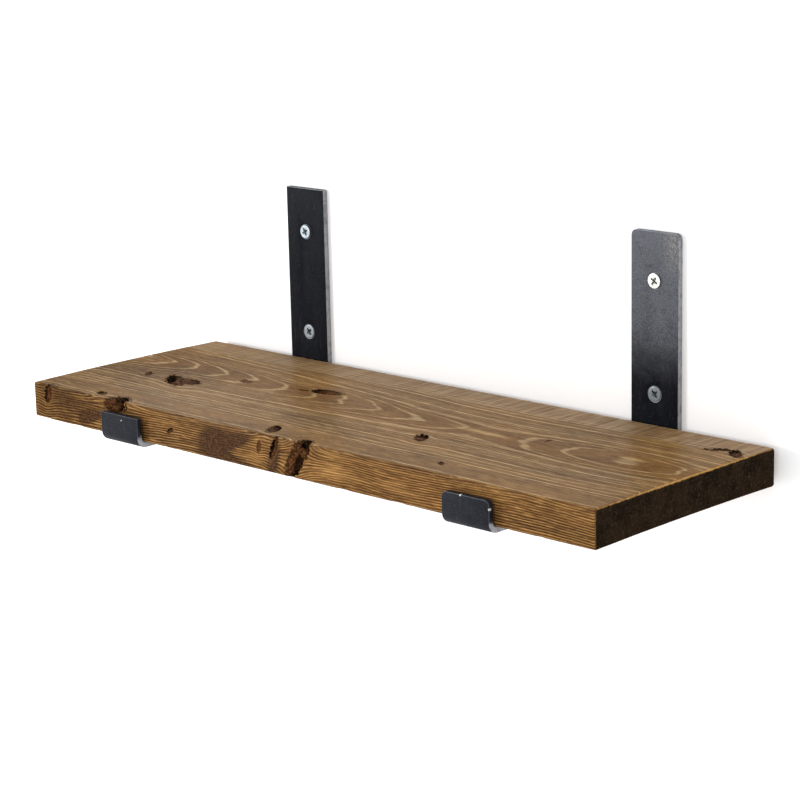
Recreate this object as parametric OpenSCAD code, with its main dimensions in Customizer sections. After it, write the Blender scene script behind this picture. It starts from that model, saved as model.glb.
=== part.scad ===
// Wall shelf on two flat-bar brackets.
// A stained softwood plank lies on the arms of two J-shaped steel brackets. Each bracket is one length
// of flat bar: a plate up the wall, an arm under the plank and a short lip in front of it.
// Origin: the centre of the four wall screws, on the face of the wall.
// +X runs along the shelf, +Y into the wall and +Z up. Millimetres.

/* [Shelf board] */
// Length of the board
board_l = 540; // [460:5:1200]
// Depth of the board, from its back edge to its front edge
board_d = 185; // [140:1:260]
// Thickness of the board
board_t = 27; // [20:1:40]
// Radius of the board's four eased long edges
board_edge_r = 2; // [2:0.5:4]
// How far the middle of the board sits to the right of the middle of the brackets
board_shift = -2.5; // [-10:0.5:10]

/* [Brackets] */
// Spacing of the brackets, centre to centre
bracket_pitch = 335; // [260:5:380]
// Width of the flat bar
bar_w = 40; // [30:1:50]
// Thickness of the flat bar
bar_t = 4; // [3:0.5:6]
// Inside radius of both bends
bend_r = 3.5; // [2:0.5:3.5]
// Height of the wall plate above the top of the board
plate_rise = 131.5; // [120:0.5:200]
// Height of the front lip, from the underside of the arm
lip_h = 22; // [12:1:24]
// Gap between the wall plate and the back edge of the board
back_gap = 1.5; // [1.5:0.5:4]
// Gap between the front edge of the board and the lip
lip_gap = 2; // [1.5:0.5:6]
// Radius of the right bracket's corners; the left bracket is cut square
right_corner_r = 4; // [1:0.5:10]

/* [Wall fixings] */
// Spacing of the upper and the lower wall screw
screw_pitch = 78; // [50:1:85]
// Height of the lower wall screw above the top of the board
lower_screw_rise = 20; // [15:1:25]
// Diameter of a wall screw over its thread
wall_screw_d = 5; // [4:0.5:5]
// Length of a wall screw
wall_screw_l = 50; // [40:5:80]
// Diameter of a wall screw's countersunk head
wall_head_d = 10.4; // [9:0.1:11]

/* [Board fixings] */
// Diameter of a board screw over its thread
board_screw_d = 4; // [3:0.5:4]
// Length of a board screw
board_screw_l = 20; // [16:1:20]
// Diameter of a board screw's countersunk head
board_head_d = 8; // [7:0.1:8.5]
// Distance of the back board screws from the back edge of the board
back_screw_inset = 46; // [30:1:60]
// Distance of the front board screws from the front edge of the board
front_screw_inset = 41; // [30:1:60]

/* [Hidden] */
$fn = 64;

// Heights
board_top = -(lower_screw_rise + screw_pitch / 2);
arm_top = board_top - board_t;
arm_bottom = arm_top - bar_t;
plate_top = board_top + plate_rise;
lip_top = arm_bottom + lip_h;

// Distances from the wall
board_back = -(bar_t + back_gap);
board_front = board_back - board_d;
lip_back = board_front - lip_gap;
lip_front = lip_back - bar_t;
back_screw_y = board_back - back_screw_inset;
front_screw_y = board_front + front_screw_inset;

// Screws
head_rim = 0.4;
seat_clearance = 0.03;
thread_clearance = 0.05;
screw_head_angle = 45;

// Holes. The lower wall holes are sunk at the angle of the screw heads, which sit flush in them. The upper
// ones are sunk with an ordinary drill point, which is blunter, so their heads meet only the inner edge of
// the sinking and stand a little proud of the plate.
wall_hole_r = wall_screw_d / 2 + 0.25;
upper_sink_r = wall_head_d / 2 + 0.6;
upper_sink_angle = 60;
lower_sink_r = wall_head_d / 2 + 0.3;
arm_hole_r = board_screw_d / 2 + 0.25;
arm_sink_r = board_head_d / 2 + head_rim + seat_clearance;

// Screw necks, threads and drives
neck_relief = 0.4;
wall_shank_l = 18;
wall_thread_pitch = 2.2;
board_shank_l = 6;
board_thread_pitch = 1.8;
recess_span = 5.4;
recess_depth = 2.6;

steel_colour = [0.17, 0.18, 0.20];
wood_colour = [0.55, 0.38, 0.22];
zinc_colour = [0.82, 0.83, 0.85];

// ---- Shared shapes ----

// Rectangle with round corners, its lower left corner at the origin
module round_rect(w, h, r) {
    translate([r, 0]) square([w - 2 * r, h]);
    translate([0, r]) square([w, h - 2 * r]);
    for (x = [r, w - r], y = [r, h - r]) translate([x, y]) circle(r);
}

// Stands a drawing made in Y and Z up in its plane and runs it along X, centred on x = 0
module along_x(length) {
    translate([-length / 2, 0, 0]) rotate([90, 0, 90]) linear_extrude(length) children();
}

// Countersunk hole along +Z with its mouth at z = 0
module sunk_hole(hole_r, sink_r, angle, depth) {
    lead = 0.5;
    translate([0, 0, -lead]) cylinder(h = depth + 2 * lead, r = hole_r);
    translate([0, 0, -lead])
        cylinder(h = lead + (sink_r - hole_r) / tan(angle), r1 = sink_r + lead * tan(angle), r2 = hole_r);
}

// Half outline of a countersunk wood screw: head, slightly thinner neck inside the steel, plain shank as
// wide as the thread, thread ridges and point
function screw_outline(head_r, major_r, neck_l, shank_l, length, pitch) =
    let (
        neck_r = major_r - neck_relief,
        core_r = 0.7 * major_r,
        ridges = floor((length - shank_l - 1.5 * major_r) / pitch)
    )
    concat(
        [[0, 0], [head_r, 0], [head_r, head_rim], [neck_r, head_rim + head_r - neck_r]],
        [[neck_r, neck_l], [major_r, neck_l], [major_r, shank_l]],
        [for (i = [0 : ridges - 1], step = [0 : 3])
            [step % 3 == 0 ? core_r : major_r, shank_l + (i + [0.1, 0.45, 0.55, 0.9][step]) * pitch]],
        [[core_r, shank_l + (ridges + 0.1) * pitch], [0, length]]
    );

// Cross recess cut into a screw head, narrowing as it goes in
module cross_recess(span, depth) {
    wing_w = 0.24 * span;
    lead = 0.1;
    intersection() {
        translate([0, 0, -lead]) cylinder(h = depth + lead, r1 = span / 2, r2 = span / 6);
        for (turn = [0, 90]) rotate(turn) cube([2 * span, wing_w, 4 * depth], center = true);
    }
}

// Countersunk screw along +Z with the face of its head at z = 0
module screw(head_d, major_d, neck_l, shank_l, length, pitch, turn) {
    difference() {
        rotate_extrude() polygon(screw_outline(head_d / 2, major_d / 2, neck_l, shank_l, length, pitch));
        rotate(turn) cross_recess(recess_span * head_d / wall_head_d, recess_depth);
    }
}

// Quarter of a bend, its open side facing the quadrant opposite to [sy, sz]
module bend(sy, sz) {
    outer_r = bend_r + bar_t;
    intersection() {
        difference() {
            circle(outer_r);
            circle(bend_r);
        }
        mirror([sy < 0 ? 1 : 0, 0]) mirror([0, sz < 0 ? 1 : 0]) square(outer_r);
    }
}

// Side view of a bracket in Y and Z
module bracket_outline() {
    translate([-bar_t, arm_top + bend_r]) square([bar_t, plate_top - arm_top - bend_r]);
    translate([-bar_t - bend_r, arm_top + bend_r]) bend(1, -1);
    translate([lip_back + bend_r, arm_bottom]) square([-bar_t - lip_back - 2 * bend_r, bar_t]);
    translate([lip_back + bend_r, arm_top + bend_r]) bend(-1, -1);
    translate([lip_front, arm_top + bend_r]) square([bar_t, lip_top - arm_top - bend_r]);
}

// What a file takes off both corners of the bar to round an end that stands at height z_end
module corner_waste(z_end, r, y_from, y_to) {
    for (side = [0, 1]) mirror([side, 0, 0])
        translate([bar_w / 2 - r, y_to, z_end - r]) rotate([90, 0, 0]) linear_extrude(y_to - y_from)
            difference() {
                square(r + 1);
                circle(r);
            }
}

// ---- Positions ----

function bracket_x(side) = side * bracket_pitch / 2;
function screw_z(row) = row * screw_pitch / 2;
function wall_sink_r(row) = row > 0 ? upper_sink_r : lower_sink_r;
function wall_sink_angle(row) = row > 0 ? upper_sink_angle : screw_head_angle;
// How far a wall screw's head stands out of the plate's face
function head_stand(row) = head_rim + wall_head_d / 2 - wall_hole_r + seat_clearance
    - (wall_sink_r(row) - wall_hole_r) / tan(wall_sink_angle(row));

// ---- Pieces ----

module shelf_board() {
    color(wood_colour) difference() {
        translate([board_shift, 0, 0]) along_x(board_l)
            translate([board_front, arm_top]) round_rect(board_d, board_t, board_edge_r);
        for (side = [-1, 1], y = [back_screw_y, front_screw_y])
            translate([bracket_x(side), y, arm_top - 1])
                cylinder(h = 1.5 + board_screw_l - bar_t, r = board_screw_d / 2 + thread_clearance);
    }
}

module bracket(side, corner_r) {
    translate([bracket_x(side), 0, 0]) color(steel_colour) difference() {
        along_x(bar_w) bracket_outline();
        for (row = [-1, 1]) translate([0, -bar_t, screw_z(row)]) rotate([-90, 0, 0])
            sunk_hole(wall_hole_r, wall_sink_r(row), wall_sink_angle(row), bar_t);
        for (y = [back_screw_y, front_screw_y]) translate([0, y, arm_bottom])
            sunk_hole(arm_hole_r, arm_sink_r, screw_head_angle, bar_t);
        if (corner_r > 0) {
            corner_waste(plate_top, corner_r, -bar_t - 1, 1);
            corner_waste(lip_top, corner_r, lip_front - 1, lip_back + 1);
        }
    }
}

module wall_screw(side, row, turn) {
    neck_l = bar_t + head_stand(row);
    color(zinc_colour) translate([bracket_x(side), -neck_l, screw_z(row)]) rotate([-90, 0, 0])
        screw(wall_head_d, wall_screw_d, neck_l, wall_shank_l, wall_screw_l, wall_thread_pitch, turn);
}

module board_screw(side, y, turn) {
    color(zinc_colour) translate([bracket_x(side), y, arm_bottom])
        screw(board_head_d, board_screw_d, bar_t, board_shank_l, board_screw_l, board_thread_pitch, turn);
}

shelf_board();
bracket(-1, 0);  // bracket_left
bracket(1, right_corner_r);  // bracket_right
wall_screw(-1, 1, 47);  // wall_screw_left_upper
wall_screw(-1, -1, 52);  // wall_screw_left_lower
wall_screw(1, 1, 38);  // wall_screw_right_upper
wall_screw(1, -1, 49);  // wall_screw_right_lower
board_screw(-1, back_screw_y, 20);  // board_screw_left_back
board_screw(-1, front_screw_y, 75);  // board_screw_left_front
board_screw(1, back_screw_y, 5);  // board_screw_right_back
board_screw(1, front_screw_y, 61);  // board_screw_right_front
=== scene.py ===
import math

import bmesh
import bpy
import numpy as np
from mathutils import Euler, Matrix, Vector, noise


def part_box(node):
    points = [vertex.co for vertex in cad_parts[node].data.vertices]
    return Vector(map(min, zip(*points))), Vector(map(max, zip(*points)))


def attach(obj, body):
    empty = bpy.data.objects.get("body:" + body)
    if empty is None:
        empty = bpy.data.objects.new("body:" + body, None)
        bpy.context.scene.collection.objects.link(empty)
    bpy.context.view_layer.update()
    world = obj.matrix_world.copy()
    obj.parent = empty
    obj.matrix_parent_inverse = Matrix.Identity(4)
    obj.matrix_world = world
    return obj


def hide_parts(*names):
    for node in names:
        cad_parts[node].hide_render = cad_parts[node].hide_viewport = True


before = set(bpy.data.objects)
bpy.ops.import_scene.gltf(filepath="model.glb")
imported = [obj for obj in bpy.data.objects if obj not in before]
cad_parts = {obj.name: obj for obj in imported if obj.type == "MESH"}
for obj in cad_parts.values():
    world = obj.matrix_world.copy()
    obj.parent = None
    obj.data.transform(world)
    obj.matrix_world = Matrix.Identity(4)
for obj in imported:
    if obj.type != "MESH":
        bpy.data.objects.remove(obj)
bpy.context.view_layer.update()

bl_info = {
    "name": "Wall shelf on bar brackets",
    "version": (1, 0, 0),
    "blender": (4, 5, 0),
    "location": "View3D > Sidebar > Wall shelf",
    "description": "Builds a stained plank on two bent steel brackets with their screws around the CAD frame",
    "category": "Add Mesh",
}

MM = 0.001

# Marks in front of this, in millimetres, are on the plank's front edge. The others are on its top.
FRONT_FROM = -187

# The knots of the plank, in millimetres: centre and half lengths, turn in degrees (seen from above on the top
# and from the front on the front edge), the side on which bark and cracks gather (degrees from the knot's own
# long axis), how far its heart is open (0 tight, 1 hollow), and how strongly the grain bends round it.
KNOTS = [
    {"at": (-188, -123.5, -59), "half": (17, 6.5, 8), "turn": -34, "side": -140, "open": 1.0, "bend": 0.6},
    {"at": (-177.5, -120, -59), "half": (11, 6.5, 8), "turn": -8, "side": 20, "open": 0.3, "bend": 0.3},
    {"at": (-71.5, -80, -59), "half": (13, 6, 8), "turn": 6, "side": 190, "open": 0.55, "bend": 0.6},
    {"at": (-91, -86, -59), "half": (5, 1.8, 4), "turn": 12, "side": 0, "open": 0.3, "bend": 0.1},
    {"at": (-144, -93, -59), "half": (7, 4, 5), "turn": -20, "side": 90, "open": 0.0, "bend": 0.9},
    {"at": (71.5, -133.5, -59), "half": (8.5, 4.5, 6), "turn": -48, "side": 150, "open": 0.75, "bend": 0.55},
    {"at": (125, -172, -59), "half": (4.0, 1.9, 4), "turn": -40, "side": 180, "open": 0.8, "bend": 0.3},
    {"at": (243, -34, -59), "half": (9, 4, 5), "turn": 30, "side": 120, "open": 0.7, "bend": 0.5},
    {"at": (258, -36, -59), "half": (10, 4, 5), "turn": -50, "side": 200, "open": 0.6, "bend": 0.4},
    {"at": (-222, -121, -59), "half": (6, 2.6, 3), "turn": -48, "side": 100, "open": 0.3, "bend": 0.4},
    {"at": (143, -87, -59), "half": (1.5, 2.8, 3), "turn": 0, "side": 0, "open": 0.2, "bend": 0.2},
    {"at": (-25, -178, -59), "half": (8.5, 4.5, 4), "turn": -60, "side": 120, "open": 0.5, "bend": 0.3},
    {"at": (-179, -188, -63.5), "half": (12, 9, 6), "turn": 6, "side": 20, "open": 0.5, "bend": 0.6},
    {"at": (-203, -182, -59), "half": (6, 3.4, 3), "turn": -22, "side": 180, "open": 0.85, "bend": 0.3},
    {"at": (8, -190, -74), "half": (14.5, 8, 6.5), "turn": 58, "side": -75, "open": 0.9, "bend": 0.7},
    {"at": (15.5, -190, -64), "half": (8.5, 8, 6.5), "turn": 70, "side": -20, "open": 1.0, "bend": 0.2},
    {"at": (-256, -191, -66), "half": (7, 8, 4), "turn": 76, "side": 90, "open": 0.6, "bend": 0.35},
    {"at": (-27, -191, -69.5), "half": (4.5, 4, 2.2), "turn": 80, "side": 90, "open": 0.1, "bend": 0.3},
    {"at": (-12, -191, -68), "half": (9, 5, 2.6), "turn": 66, "side": 90, "open": 0.9, "bend": 0.2},
    {"at": (-119, -191, -73), "half": (3.5, 3, 1.7), "turn": 20, "side": 90, "open": 0.7, "bend": 0.15},
]

# Darker and lighter stains, in millimetres: centre and half lengths, turn in degrees, and tone, which is
# below 0 where the stain is darker.
STAINS = [
    {"at": (-250, -88, -59), "half": (24, 9, 6), "turn": 0, "tone": 0.75},
    {"at": (-235, -120, -59), "half": (80, 70, 8), "turn": 0, "tone": -0.6},
    {"at": (-242, -43, -59), "half": (15, 5, 6), "turn": 0, "tone": 0.45},
    {"at": (92, -97, -59), "half": (34, 5, 6), "turn": -2, "tone": 0.9},
    {"at": (-112, -106, -59), "half": (30, 4, 6), "turn": 4, "tone": 0.5},
    {"at": (-30, -142, -59), "half": (85, 16, 8), "turn": -4, "tone": -0.35},
    {"at": (-160, -78, -59), "half": (50, 12, 8), "turn": -8, "tone": -0.3},
    {"at": (-40, -180, -59), "half": (60, 9, 8), "turn": 4, "tone": -0.35},
    {"at": (200, -130, -59), "half": (70, 30, 8), "turn": 6, "tone": -0.25},
    {"at": (-50, -172, -59), "half": (90, 6, 8), "turn": 3, "tone": 0.3},
    {"at": (-71, -191, -76), "half": (19, 6, 15), "turn": 10, "tone": -2.3},
    {"at": (-51, -191, -69), "half": (20, 6, 6.5), "turn": 16, "tone": -1.9},
    {"at": (-44, -191, -84), "half": (26, 6, 4), "turn": -8, "tone": -1.9},
    {"at": (-208, -191, -75), "half": (14, 6, 5.5), "turn": 20, "tone": -1.9},
    {"at": (-37, -191, -79), "half": (17, 6, 8), "turn": 30, "tone": 0.45},
    {"at": (44, -191, -72), "half": (16, 6, 14), "turn": 0, "tone": 0.5},
    {"at": (-13, -191, -76), "half": (14, 6, 7), "turn": 66, "tone": -2.2},
    {"at": (-120, -191, -70), "half": (40, 6, 9), "turn": 3, "tone": 0.35},
    {"at": (-235, -191, -70), "half": (60, 6, 24), "turn": 0, "tone": -1.0},
    {"at": (-125, -191, -74), "half": (60, 6, 18), "turn": 0, "tone": -0.55},
    {"at": (130, -191, -72), "half": (130, 6, 18), "turn": 0, "tone": 0.3},
    {"at": (228, -191, -78), "half": (60, 6, 6), "turn": 0, "tone": -0.5},
]

# The heart of the log, in millimetres: how it rises and dips and how far from the wall it runs. Each row is
# from x, to x, the value at the first and the value at the second.
PITH_RISE = (-273.0, 90.0, 0.0, 11.4)
PITH_DIP = (85.0, 215.0, 0.0, -2.6)
PITH_LIFT = (215.0, 300.0, 0.0, 2.2)
PITH_FROM_WALL = (-260.0, 60.0, -87.0, -98.0)

# Bright nicks on the lips of the brackets, in millimetres: centre and half lengths.
NICKS = [
    {"at": (-165.0, -196.4, -71.6), "half": (0.7, 1.5, 0.45)},
    {"at": (163.4, -196.0, -68.3), "half": (0.8, 1.6, 0.8)},
    {"at": (187.2, -195.6, -73.5), "half": (0.7, 1.6, 1.1)},
]

# The rubbed top corner of the right wall plate, in millimetres: centre and half lengths.
RUBBED_CORNER = {"at": (184.0, 0.0, 66.0), "half": (13.0, 30.0, 24.0)}

# Screws: the way they are driven, and for each its CAD node and the turn of its drive in degrees.
INTO_WALL = Vector((0, 1, 0))
UPWARDS = Vector((0, 0, 1))
WALL_SCREWS = [
    ("wall_screw_left_upper", 62), ("wall_screw_left_lower", 52),
    ("wall_screw_right_upper", 34), ("wall_screw_right_lower", 49),
]
# This screw's zinc is painted much brighter than the others': a painted highlight.
HIGHLIT_SCREW = "wall_screw_right_upper"
BOARD_SCREWS = [
    ("board_screw_left_back", 20), ("board_screw_left_front", 75),
    ("board_screw_right_back", 5), ("board_screw_right_front", 61),
]

# The smooth length under a screw's head, and the radius over its thread.
WALL_SHANK = 18 * MM
WALL_THREAD_R = 2.5 * MM
BOARD_SHANK = 6 * MM
BOARD_THREAD_R = 2.0 * MM


# ---- Settings ----

def colour_setting(name, description, default):
    return bpy.props.FloatVectorProperty(
        name=name, description=description, default=default, size=4, min=0, max=1, subtype="COLOR")


def length_setting(name, description, default_mm, low_mm=0.0, high_mm=100.0):
    return bpy.props.FloatProperty(
        name=name, description=description, default=default_mm * MM, min=low_mm * MM, max=high_mm * MM,
        unit="LENGTH", precision=5)


def share_setting(name, description, default):
    return bpy.props.FloatProperty(
        name=name, description=description, default=default, min=0, max=1, subtype="FACTOR")


class PlankSettings(bpy.types.PropertyGroup):
    """Sizes and colours of the plank"""
    arris: length_setting("Arris radius", "Radius of the four long edges", 1.3, 0.5, 4)
    cup: length_setting("Cup", "How far the middle of the plank bows up", 0.9, 0, 2)
    mesh_step: length_setting("Mesh step", "Spacing of the mesh away from knots", 1.9, 1, 5)
    saw_band: length_setting("Saw band", "Width of the rough-sawn band along the back edge", 32, 0, 80)
    ring_gap: length_setting("Ring spacing", "Growth ring spacing in the log", 1.05, 0.5, 6)
    pith_depth: length_setting(
        "Pith depth", "How far the heart of the log lies under the top face", 96, 20, 400)
    ground: colour_setting("Stained ground", "Soft early wood of the edges", (0.100, 0.040, 0.011, 1))
    # The top's ground is painted paler and greyer than the edges': a painted sheen.
    ground_top_with_sheen: colour_setting(
        "Ground of the top", "Soft early wood where the top is sanded", (0.205, 0.098, 0.026, 1))
    shade: colour_setting("Dark stain", "Where the stain lies thickest", (0.030, 0.012, 0.004, 1))
    line: colour_setting(
        "Ring lines", "Hard late wood of the edges, which stays golden", (0.66, 0.365, 0.115, 1))
    # The top's ring lines are painted paler and greyer than the edges': a painted sheen.
    line_top_with_sheen: colour_setting(
        "Ring lines of the top", "Late wood where the top is sanded", (0.66, 0.46, 0.21, 1))
    mottle: colour_setting("Mottle", "Wood that shows through the dark stains", (0.125, 0.060, 0.026, 1))
    sawn: colour_setting("Sawn band", "Rough-sawn wood along the back edge", (0.23, 0.15, 0.082, 1))
    sawn_light: colour_setting("Torn fibres", "Pale streaks across the sawn band", (0.42, 0.30, 0.18, 1))
    sawn_dark: colour_setting("Saw marks", "Dark streaks across the sawn band", (0.060, 0.034, 0.016, 1))
    knot: colour_setting("Knots", "Heart of a knot", (0.020, 0.006, 0.003, 1))
    knot_light: colour_setting("Knot rings", "Paler rings within a knot", (0.19, 0.075, 0.024, 1))
    bark: colour_setting("Bark and cracks", "Outline of a knot and open cracks", (0.002, 0.0013, 0.001, 1))
    end_grain: colour_setting("End grain", "Sawn ends, which drink the stain", (0.0075, 0.0050, 0.0032, 1))
    end_ring: colour_setting("End rings", "Late wood seen on the sawn ends", (0.030, 0.017, 0.009, 1))
    end_dust: colour_setting("End fuzz", "Torn fibres on the sawn ends", (0.075, 0.062, 0.043, 1))
    gloss: share_setting("Wax roughness", "Roughness of the waxed surface", 0.4)


class BracketSettings(bpy.types.PropertyGroup):
    """Sizes and colours of the brackets"""
    edge_softness: length_setting(
        "Edge softness", "How far the arrises of the bar are rubbed down", 0.28, 0.1, 1)
    scale: colour_setting("Mill scale", "Blue-black skin of the hot rolled bar", (0.0042, 0.005, 0.008, 1))
    # This pale colour is also the painted sheen towards the top of the right wall plate.
    pale_scale_and_sheen: colour_setting("Worn scale", "Where the skin is thin", (0.128, 0.136, 0.156, 1))
    cut: colour_setting("Cut steel", "Bare sides of the bar", (0.30, 0.30, 0.31, 1))
    worn: colour_setting("Rubbed steel", "Bright arrises", (0.27, 0.28, 0.31, 1))
    scratch: colour_setting("Scratches", "Fresh scratches in bare steel", (0.7, 0.7, 0.72, 1))
    nick: colour_setting("Nicks", "Bright nicks on the lips", (0.62, 0.60, 0.56, 1))
    rust: colour_setting("Rust bloom", "Brown bloom on the skin", (0.018, 0.013, 0.011, 1))
    corner: colour_setting("Rubbed corner", "Skin rubbed off the right plate's corner", (0.31, 0.29, 0.25, 1))


class ScrewSettings(bpy.types.PropertyGroup):
    """Sizes and colours of the screws"""
    wall_pitch: length_setting("Wall screw pitch", "Thread pitch of the wall screws", 2.2, 1, 5)
    board_pitch: length_setting("Board screw pitch", "Thread pitch of the board screws", 1.8, 0.8, 4)
    zinc: colour_setting("Zinc", "Bright zinc plating", (0.19, 0.215, 0.235, 1))
    # A painted highlight: the plating of the one bright wall screw.
    zinc_highlight: colour_setting("Fresh zinc", "Plating of the one new screw", (0.62, 0.61, 0.57, 1))
    zinc_dull: colour_setting(
        "Dull zinc", "Plating in the recess and where it was handled", (0.09, 0.10, 0.11, 1))


class StageSettings(bpy.types.PropertyGroup):
    """Wall, light and camera"""
    wall: colour_setting(
        "Wall and floor", "Plain pale surface behind and below the shelf", (0.92, 0.92, 0.92, 1))
    glow: bpy.props.FloatProperty(
        name="Glow", description="Light that the wall gives of its own, so that it stays white", default=0.12,
        min=0, max=2)
    surround: bpy.props.FloatProperty(
        name="Surround", description="Brightness of the white room", default=1.05, min=0, max=10)
    key_power: bpy.props.FloatProperty(
        name="Key light", description="Power of the soft light at the front left", default=26, min=0,
        unit="POWER")
    lens: bpy.props.FloatProperty(
        name="Lens", description="Focal length", default=107.63 * MM, min=0.01, unit="CAMERA")


# ---- Short calls for making shader nodes ----

def place(tree, kind, values=None, **settings):
    """Adds a node and fills its inputs, each with a number, a colour or another node's output."""
    made = tree.nodes.new("ShaderNode" + kind)
    for name, value in settings.items():
        setattr(made, name, value)
    for key, value in (values or {}).items():
        if isinstance(value, bpy.types.NodeSocket):
            tree.links.new(value, made.inputs[key])
        else:
            made.inputs[key].default_value = value
    return made


def calc(tree, operation, *values):
    return place(tree, "Math", dict(enumerate(values)), operation=operation).outputs[0]


def shift(tree, operation, *values):
    """Vector sum, product and the like."""
    return place(tree, "VectorMath", dict(enumerate(values)), operation=operation).outputs[0]


def length_of(tree, value):
    return place(tree, "VectorMath", {0: value}, operation="LENGTH").outputs["Value"]


def mix(tree, share, below, above):
    """Mixes two colours."""
    return place(tree, "Mix", {0: share, 6: below, 7: above}, data_type="RGBA").outputs[2]


def fade(tree, value, low, high, start=0.0, end=1.0):
    """Smooth step from start to end as value goes from low to high."""
    return place(tree, "MapRange", {0: value, 1: low, 2: high, 3: start, 4: end},
                 interpolation_type="SMOOTHSTEP").outputs[0]


def ramp(tree, value, low, high, start, end):
    """Straight change from start to end as value goes from low to high."""
    return place(tree, "MapRange", {0: value, 1: low, 2: high, 3: start, 4: end}).outputs[0]


def cloud(tree, at, scale=1.0, detail=2.0, roughness=0.5, distortion=0.0):
    return place(tree, "TexNoise", {"Vector": at, "Scale": scale, "Detail": detail, "Roughness": roughness,
                                    "Distortion": distortion}).outputs["Fac"]


def stretched(tree, at, x, y, z, offset):
    """The point measured in steps of x, y and z millimetres, and moved by offset steps."""
    scaled = shift(tree, "DIVIDE", at, (x, y, z))
    return shift(tree, "ADD", scaled, (offset, offset, offset))


def parts_of(tree, value):
    return place(tree, "SeparateXYZ", {0: value}).outputs


def point_in_mm(tree):
    at = place(tree, "TexCoord").outputs["Object"]
    return place(tree, "VectorMath", {0: at, "Scale": 1 / MM}, operation="SCALE").outputs[0]


def node_group(name, inputs, outputs, build):
    """A shader node group with named inputs (name, kind, default) and outputs (name, kind)."""
    tree = bpy.data.node_groups.new(name, "ShaderNodeTree")
    for label, kind, default in inputs:
        socket = tree.interface.new_socket(label, in_out="INPUT", socket_type="NodeSocket" + kind)
        socket.default_value = default
    for label, kind in outputs:
        tree.interface.new_socket(label, in_out="OUTPUT", socket_type="NodeSocket" + kind)
    entry = tree.nodes.new("NodeGroupInput")
    leave = tree.nodes.new("NodeGroupOutput")
    for label, result in build(tree, entry.outputs).items():
        tree.links.new(result, leave.inputs[label])
    return tree


def use(tree, group_tree, **values):
    """Places a node group; a name's underscores stand for spaces."""
    made = tree.nodes.new("ShaderNodeGroup")
    made.node_tree = group_tree
    for key, value in values.items():
        socket = made.inputs[key.replace("_", " ")]
        if isinstance(value, bpy.types.NodeSocket):
            tree.links.new(value, socket)
        else:
            socket.default_value = value
    return made.outputs


def shared(name, make):
    """The node group of that name, made the first time that it is asked for."""
    return bpy.data.node_groups.get(name) or make(name)


BLACK = (0, 0, 0, 1)
WHITE = (1, 1, 1, 1)
ORIGIN = (0, 0, 0)
FAR = 99.0


def local_point(tree, point, centre, size, turn):
    """The point in a turned ellipsoid's own measure, in which its surface is one away from its centre."""
    return place(tree, "Mapping", {"Vector": point, "Location": centre, "Rotation": turn, "Scale": size},
                 vector_type="TEXTURE").outputs[0]


def make_bend_group(name):
    """Draws grain lines apart so that they pass round a knot."""
    def build(tree, ins):
        reach = length_of(tree, local_point(tree, ins["Bent"], ins["Centre"], ins["Size"], ins["Turn"]))
        nearness = calc(tree, "EXPONENT", calc(tree, "MULTIPLY", calc(tree, "POWER", reach, 2.0), -0.42))
        pull = calc(tree, "MULTIPLY", nearness, ins["Strength"])
        away = shift(tree, "MULTIPLY", shift(tree, "SUBTRACT", ins["Bent"], ins["Centre"]), (0, 1, 1))
        moved = place(tree, "VectorMath", {0: away, "Scale": pull}, operation="SCALE").outputs[0]
        return {"Bent": shift(tree, "SUBTRACT", ins["Bent"], moved)}

    return node_group(
        name,
        [("Bent", "Vector", ORIGIN), ("Centre", "Vector", ORIGIN),
         ("Size", "Vector", (1, 1, 1)), ("Turn", "Vector", ORIGIN), ("Strength", "Float", 0.5)],
        [("Bent", "Vector")], build)


def make_stain_group(name):
    """Adds a soft patch to a tone that runs from dark to light."""
    def build(tree, ins):
        reach = length_of(tree, local_point(tree, ins["Point"], ins["Centre"], ins["Size"], ins["Turn"]))
        patch = fade(tree, reach, 1.35, 0.15)
        return {"Tone": calc(tree, "ADD", ins["Tone"], calc(tree, "MULTIPLY", patch, ins["Amount"]))}

    return node_group(
        name,
        [("Point", "Vector", ORIGIN), ("Tone", "Float", 0.0), ("Centre", "Vector", ORIGIN),
         ("Size", "Vector", (1, 1, 1)), ("Turn", "Vector", ORIGIN), ("Amount", "Float", 0.5)],
        [("Tone", "Float")], build)


def make_nearest_group(name):
    """Keeps whichever knot is nearer: the one found so far or this one."""
    def build(tree, ins):
        local = local_point(tree, ins["Point"], ins["Centre"], ins["Size"], ins["Turn"])
        reach = length_of(tree, local)
        nearer = calc(tree, "LESS_THAN", reach, ins["Reach"])
        chosen = place(tree, "Mix", {0: nearer, 4: ins["Local"], 5: local}, data_type="VECTOR").outputs[1]
        opening = place(tree, "Mix", {0: nearer, 2: ins["Open"], 3: ins["Opening"]}).outputs[0]
        barked = calc(tree, "DIVIDE", place(tree, "VectorMath", {0: local, 1: ins["Bark Side"]},
                                            operation="DOT_PRODUCT").outputs["Value"], reach)
        side = place(tree, "Mix", {0: nearer, 2: ins["Side"], 3: barked}).outputs[0]
        return {"Local": chosen, "Reach": calc(tree, "MINIMUM", reach, ins["Reach"]), "Open": opening,
                "Side": side}

    return node_group(
        name,
        [("Point", "Vector", ORIGIN), ("Local", "Vector", ORIGIN), ("Reach", "Float", FAR),
         ("Open", "Float", 0.0), ("Side", "Float", 0.0), ("Centre", "Vector", ORIGIN),
         ("Size", "Vector", (1, 1, 1)), ("Turn", "Vector", ORIGIN), ("Opening", "Float", 0.5),
         ("Bark Side", "Vector", (1, 0, 0))],
        [("Local", "Vector"), ("Reach", "Float"), ("Open", "Float"), ("Side", "Float")], build)


def turn_of(mark):
    """A knot's or stain's turn as a rotation: seen from above on the top face, from the front on its edge."""
    angle = math.radians(mark["turn"])
    on_front = mark["at"][1] < FRONT_FROM
    return (0, -angle, 0) if on_front else (0, 0, angle)


def bark_side(knot):
    """Direction, in the knot's own measure, of the side where bark and cracks gather."""
    angle = math.radians(knot["side"])
    if turn_of(knot)[1]:
        return (math.cos(angle), 0, math.sin(angle))
    return (math.cos(angle), math.sin(angle), 0)


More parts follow.
